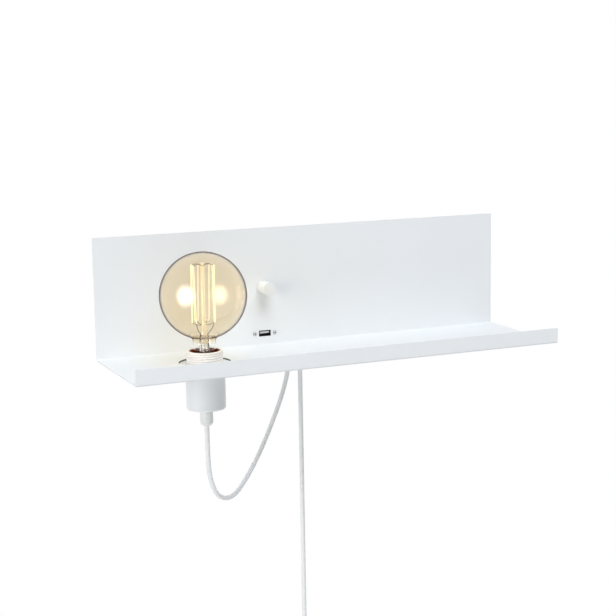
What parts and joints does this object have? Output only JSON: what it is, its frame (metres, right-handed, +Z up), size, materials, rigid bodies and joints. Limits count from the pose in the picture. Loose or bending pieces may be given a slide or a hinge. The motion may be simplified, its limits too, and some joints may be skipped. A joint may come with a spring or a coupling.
{
  "type": "wall lamp with shelf",
  "caption": "Folded steel wall panel with a shelf, an upright globe bulb in a lampholder through the shelf, a dimmer knob, a charging port and hanging cords.",
  "frame": {"origin": "middle of the wall bracket's rear face, on the wall", "axes": "+X along the wall to the right as seen from the room, +Y into the wall, +Z up; the shelf comes out along -Y"},
  "size_m": [0.5, 0.177, 0.6708],
  "materials": {
    "white_steel": "fine satin white powder coat",
    "zinc_steel": "zinc plated",
    "screw_steel": "bright zinc",
    "holder_white": "satin white",
    "liner_phenolic": "dark brown moulded phenolic",
    "carrier_ceramic": "unglazed steatite",
    "brass_parts": "bright brass",
    "grip_plastic": "white nylon",
    "cord_white": "smooth white sheath",
    "wire_brown": "brown core",
    "wire_blue": "blue core",
    "tinted_glass": "clear, light amber",
    "stem_glass": "clear",
    "filament_wire": "glowing",
    "support_wire": "dark molybdenum",
    "vitrite": "black cap glass",
    "solder": "solder",
    "knob_plastic": "white",
    "black_plastic": "black",
    "white_plastic": "white",
    "port_steel": "tinned",
    "gold_contacts": "gold plated",
    "circuit_board": "green laminate",
    "component_dark": "moulded dark parts",
    "component_yellow": "yellow taped parts",
    "copper_coil": "enamelled copper"
  },
  "bodies": {
    "root": {"shelf_panel": "white_steel", "rear_housing": "white_steel", "housing_cover": "zinc_steel", "cover_posts": "zinc_steel", "cover_screws": "screw_steel", "wall_bracket": "zinc_steel", "locking_screws": "screw_steel", "lampholder_sleeve": "holder_white", "lampholder_liner": "liner_phenolic", "shade_ring": "holder_white", "lampholder_dome": "holder_white", "contact_carrier": "carrier_ceramic", "screw_shell": "brass_parts", "centre_contact": "brass_parts", "holder_terminals": "brass_parts", "cord_grip": "grip_plastic", "grip_nut": "zinc_steel", "dimmer_bush": "brass_parts", "dimmer_case": "component_dark", "dimmer_nut": "screw_steel", "dimmer_board": "circuit_board", "dimmer_triac": "component_dark", "dimmer_choke": "copper_coil", "dimmer_capacitor": "component_yellow", "dimmer_fuse": "stem_glass", "port_bezel": "black_plastic", "port_shell": "port_steel", "port_tongue": "white_plastic", "port_contacts": "gold_contacts", "port_screws": "screw_steel", "port_board": "circuit_board", "port_converter": "component_yellow", "terminal_block": "white_plastic", "terminal_screws": "screw_steel", "clamp_base": "black_plastic", "clamp_bar": "black_plastic", "clamp_screw": "screw_steel", "inner_cord_ends": "cord_white", "live_wires": "wire_brown", "neutral_wires": "wire_blue", "mains_bush": "grip_plastic", "lamp_cord_bush": "grip_plastic", "lamp_cord": "cord_white", "mains_cord": "cord_white", "mains_cord_coil": "cord_white", "mains_cord_tail": "cord_white", "cord_tie": "black_plastic", "plug_strain_relief": "grip_plastic", "plug_body": "white_plastic", "plug_pins": "port_steel"},
    "knob": {"dimmer_knob": "knob_plastic", "dimmer_shaft": "screw_steel"},
    "bulb_tip": {"cap_contact": "solder"},
    "bulb": {"bulb_glass": "tinted_glass", "bulb_stem": "stem_glass", "bulb_cap": "brass_parts", "cap_insulator": "vitrite", "filament": "filament_wire", "filament_supports": "support_wire", "lead_wires": "support_wire"}
  },
  "joints": [
    {"name": "dimmer_turn", "type": "hinge", "parent": "root", "child": "knob", "pos_m": [-0.0515, -0.04, -0.018], "axis": [0, 1, 0], "range_deg": [-300, 0]},
    {"name": "bulb_lift", "type": "slide", "parent": "root", "child": "bulb_tip", "axis": [0, 0, 1], "range_m": [0, 0.01452]},
    {"name": "bulb_turn", "type": "hinge", "parent": "bulb_tip", "child": "bulb", "pos_m": [-0.1515, -0.1055, -0.06], "axis": [0, 0, 1], "range_deg": [0, 1440]}
  ],
  "couplings": [
    {"joint": "bulb_lift", "follows": "bulb_turn", "m_per_rad": 0.00057751}
  ]
}
